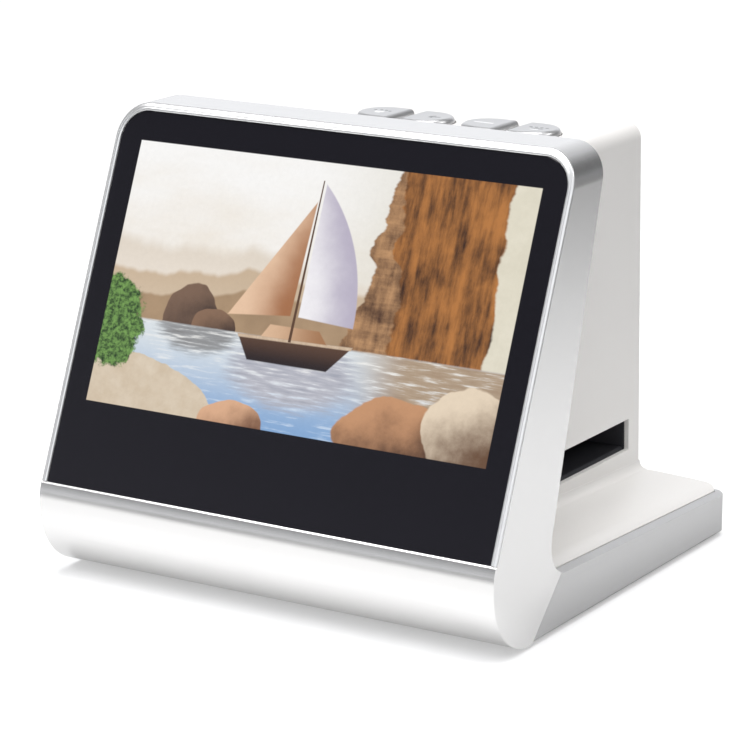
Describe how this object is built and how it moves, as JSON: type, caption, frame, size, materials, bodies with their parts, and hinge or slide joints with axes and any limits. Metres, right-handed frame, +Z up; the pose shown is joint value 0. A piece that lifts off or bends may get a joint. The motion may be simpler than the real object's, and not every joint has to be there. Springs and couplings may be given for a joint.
{
  "type": "desktop film scanner",
  "caption": "Desktop film scanner: a leaning colour screen in a silver frame before a white tower with a film channel through its foot and sprung keys on its top.",
  "frame": {"origin": "on the table, under the middle of the outline", "axes": "+X to the right seen from the screen's side, +Y from the screen to the back, +Z up"},
  "size_m": [0.125, 0.1182, 0.1108],
  "materials": {
    "frame_silver": "satin silver with fine brush lines",
    "trim_silver": "bright silver, rounded",
    "white_shell": "satin white",
    "cover_glass": "gloss with a dark printed border",
    "black_tape": "matte black",
    "display": "dark display module",
    "steel_sheet": "plain sheet",
    "screw_steel": "dark zinc",
    "circuit_board": "green solder mask",
    "black_plastic": "matte black",
    "foot_rubber": "matte black",
    "lamp_white": "white",
    "opal": "opal",
    "led_yellow": "clear yellow",
    "lens_glass": "coated clear",
    "sensor_glass": "dark, glossy",
    "key_silver": "satin silver",
    "socket_steel": "plated",
    "flat_cable": "amber film"
  },
  "bodies": {
    "scanner": {"front_frame": "frame_silver", "screen_trim": "trim_silver", "cover_glass": "cover_glass", "glass_tape": "black_tape", "lcd_panel": "display", "lcd_bracket": "steel_sheet", "bracket_screws": "screw_steel", "main_board": "circuit_board", "board_screws": "screw_steel", "rear_housing": "white_shell", "base_pan": "frame_silver", "rubber_feet": "foot_rubber", "base_screws": "screw_steel", "film_track": "black_plastic", "film_guide": "black_plastic", "detent_spring": "steel_sheet", "channel_screws": "screw_steel", "light_box": "lamp_white", "diffuser": "opal", "led_board": "lamp_white", "led_chips": "led_yellow", "lamp_screws": "screw_steel", "optics_housing": "black_plastic", "optics_screws": "screw_steel", "lens_barrel": "black_plastic", "front_lens": "lens_glass", "rear_lens": "lens_glass", "sensor_board": "circuit_board", "image_sensor": "sensor_glass", "sensor_screws": "screw_steel", "tact_switches": "black_plastic", "key_board": "circuit_board", "key_board_screws": "screw_steel", "port_board": "circuit_board", "card_socket": "socket_steel", "hdmi_socket": "socket_steel", "usb_socket": "socket_steel", "port_screws": "screw_steel", "display_cable": "flat_cable", "sensor_cable": "flat_cable", "key_cable": "flat_cable", "port_cable": "flat_cable", "lamp_cable": "flat_cable"},
    "home_button": {"home_key": "key_silver", "home_plunger": "black_plastic"},
    "left_button": {"left_key": "key_silver", "left_plunger": "black_plastic"},
    "right_button": {"right_key": "key_silver", "right_plunger": "black_plastic"},
    "scan_button": {"scan_key": "key_silver", "scan_plunger": "black_plastic"}
  },
  "joints": [
    {"name": "home_press", "type": "slide", "parent": "scanner", "child": "home_button", "axis": [0, 0, -1], "range_m": [0, 0.0006], "stiffness_N_per_m": 2000},
    {"name": "left_press", "type": "slide", "parent": "scanner", "child": "left_button", "axis": [0, 0, -1], "range_m": [0, 0.0006], "stiffness_N_per_m": 2000},
    {"name": "right_press", "type": "slide", "parent": "scanner", "child": "right_button", "axis": [0, 0, -1], "range_m": [0, 0.0006], "stiffness_N_per_m": 2000},
    {"name": "scan_press", "type": "slide", "parent": "scanner", "child": "scan_button", "axis": [0, 0, -1], "range_m": [0, 0.0006], "stiffness_N_per_m": 2000}
  ]
}
